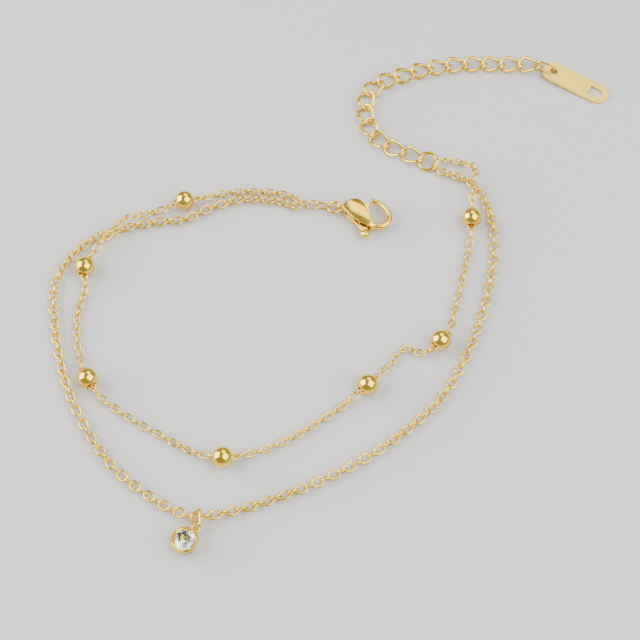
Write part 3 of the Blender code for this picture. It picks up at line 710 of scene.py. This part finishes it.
clear = facet_finish("clear_cut_stone", CLEAR_LINES, Base_Color=WHITE, IOR=STONE_IOR,
                     Transmission_Weight=1.0)
silvered = facet_finish("silvered_pavilion", SILVER_LINES, Base_Color=SILVER_COLOUR, Metallic=1.0)
dress(stone, "pendant_stone", material=clear, slot="clear_stone")
stone.data.materials.append(silvered)
for face in stone.data.polygons:
    face.material_index = 1 if face.normal.z < PAVILION_SLOPE else 0

# Connector ring
# A heavier jump ring of gold-plated wire joins both strands to the extender. Each strand ends in
# a small link of its own wire that stands on edge round the ring.
for node in ("connector_ring", "plain_end_link", "beaded_end_link"):
    ring_in_place(node, around=40, sides=14)

# Extender chain
# Sixteen open curb links of thicker plated wire: each is an oval with its ends twisted opposite
# ways, so that the chain lies flat. The clasp can be hooked into any of them.
EXTENDER_LINK = (5.17 * MM, 3.75 * MM, 0.69 * MM)
EXTENDER_TWIST = math.radians(-90.0)
extender_nodes = sorted(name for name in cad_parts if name.startswith("extender_link_"))

curb_model = bent_ring("curb_model", *EXTENDER_LINK, around=40)
work(curb_model, "SIMPLE_DEFORM", deform_method="TWIST", deform_axis="X", angle=EXTENDER_TWIST)
for node in extender_nodes:
    link = copy_of(curb_model, node + "_wire")
    matrix, _ = principal_frame(node)
    settle(link, matrix)
    dress(link, node)
bpy.data.objects.remove(curb_model)

# End tag
# A thin steel tag with one round end and one squared end, pierced for its link and with a small
# window. It is gold plated, its faces satin finished and its edges polished, and an upright oval
# link carries it.
TAG_L = 14.5 * MM
TAG_W = 4.9 * MM
TAG_THICK = 0.4 * MM
TAG_CORNER = 1.9 * MM
TAG_HOLE_D = 1.6 * MM
TAG_HOLE_INSET = 2.1 * MM
TAG_HOLE_SWEEP = math.radians(349.2)
TAG_WINDOW_L = 2.8 * MM
TAG_WINDOW_W = 2.3 * MM
TAG_WINDOW_INSET = 1.35 * MM
TAG_EASE = 0.1 * MM
TAG_EASED_ANGLE = math.radians(50.0)
TAG_FACE_FLATNESS = 0.99
SATIN_DEEP = (0.88, 0.60, 0.08, 1.0)
SATIN_LIGHT = (0.97, 0.69, 0.12, 1.0)
SATIN_GRAIN = {"scale": 9000.0, "detail": 4.0}
SATIN_GLOSS = (0.26, 0.46)
SATIN_RELIEF = 0.25


def tag_outlines():
    """The tag's edge, its link hole and its D-shaped window, round end towards +X.

    The hole's arc stops short of a whole turn, and the closed outline joins its two ends.
    """
    half = TAG_W / 2
    right = math.pi / 2
    start = -TAG_L / 2
    end = TAG_L / 2
    edge = arc((end - half, 0.0), half, -right, right, 32)
    edge += arc((start + TAG_CORNER, half - TAG_CORNER), TAG_CORNER, right, 2 * right, 12)
    edge += arc((start + TAG_CORNER, TAG_CORNER - half), TAG_CORNER, 2 * right, 3 * right, 12)
    hole = arc((start + TAG_HOLE_INSET, 0.0), TAG_HOLE_D / 2, 0.0, TAG_HOLE_SWEEP, 31)
    bow = TAG_WINDOW_W / 2
    window = arc((end - TAG_WINDOW_INSET - bow, 0.0), bow, -right, right, 20)
    straight = end - TAG_WINDOW_INSET - TAG_WINDOW_L
    window += [(straight, bow), (straight, -bow)]
    return [edge, hole, window]


def satin_gold():
    """Gold plate with a fine satin grain on it."""
    material = surface("satin_gold_plate", Metallic=1.0)
    grain = marks(material, **SATIN_GRAIN)
    tint(material, grain, SATIN_DEEP, SATIN_LIGHT)
    vary_gloss(material, grain, *SATIN_GLOSS)
    raise_marks(material, grain, SATIN_RELIEF)
    return material


ring_in_place("tag_link")
link_low, link_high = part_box("tag_link")
tag_place, _ = principal_frame("end_tag", (link_low + link_high) / 2)
tag_place = tag_place @ Matrix.Rotation(math.pi, 4, "Z")
tag = drawn_plate("pierced_tag", tag_outlines(), TAG_THICK)
work(tag, "BEVEL", width=TAG_EASE, segments=3, limit_method="ANGLE", angle_limit=TAG_EASED_ANGLE)
work(tag, "WEIGHTED_NORMAL", weight=100, keep_sharp=True)
settle(tag, tag_place)
dress(tag, "end_tag", material=satin_gold(), slot="satin_gold")
tag.data.materials.append(GOLD)
tag_up = tag_place.to_3x3().col[2]
for face in tag.data.polygons:
    face.material_index = 0 if abs(face.normal @ tag_up) > TAG_FACE_FLATNESS else 1

# Table, lights and camera
# A plain pale table top, soft lights round it in a pale room, and the camera, which looks down on
# the anklet at 60 degrees. A light's columns are its name, place, width and power.
TABLE = 6.0
TABLE_COLOUR = (0.57, 0.565, 0.55, 1.0)
TABLE_ROUGHNESS = 0.75
LIGHTS = [("left_softbox", (-0.32, 0.39, 0.31), 0.58, 6.6),
          ("right_softbox", (0.14, -0.36, 0.49), 0.70, 7.0),
          ("top_softbox", (0.36, 0.20, 0.52), 0.40, 1.3)]
ROOM_COLOUR = (1.0, 0.98, 0.95, 1.0)
ROOM_LIGHT = 0.42
CAMERA_PLACE = Vector((-102.66, -94.94, 213.04)) * MM
CAMERA_AIM = Vector((-15.68, -7.96, 0.0)) * MM
CAMERA_NEAR = 10.0 * MM
LENS = 74.7


def table_top():
    """The plain top that the anklet lies on."""
    bpy.ops.mesh.primitive_plane_add(size=TABLE)
    table = bpy.context.object
    table.name = "table_top"
    table.data.materials.append(surface("pale_table", Base_Color=TABLE_COLOUR,
                                        Roughness=TABLE_ROUGHNESS))


def aimed(place, target):
    """The turn of a light or camera that looks from one place to another."""
    return (target - place).to_track_quat("-Z", "Y").to_euler()


def soft_light(name, place, width, power):
    """A square soft light, aimed at the middle of the table."""
    bpy.ops.object.light_add(type="AREA", location=place)
    light = bpy.context.object
    light.name = name
    light.data.size = width
    light.data.energy = power
    light.rotation_euler = aimed(Vector(place), Vector())


table_top()
for light_row in LIGHTS:
    soft_light(*light_row)
room = bpy.data.worlds.new("studio")
bpy.context.scene.world = room
room.use_nodes = True
room.node_tree.nodes["Background"].inputs["Color"].default_value = ROOM_COLOUR
room.node_tree.nodes["Background"].inputs["Strength"].default_value = ROOM_LIGHT
camera = put_down("camera", bpy.data.cameras.new("camera"))
camera.data.lens = LENS
camera.data.clip_start = CAMERA_NEAR
camera.location = CAMERA_PLACE
camera.rotation_euler = aimed(CAMERA_PLACE, CAMERA_AIM)
bpy.context.scene.camera = camera
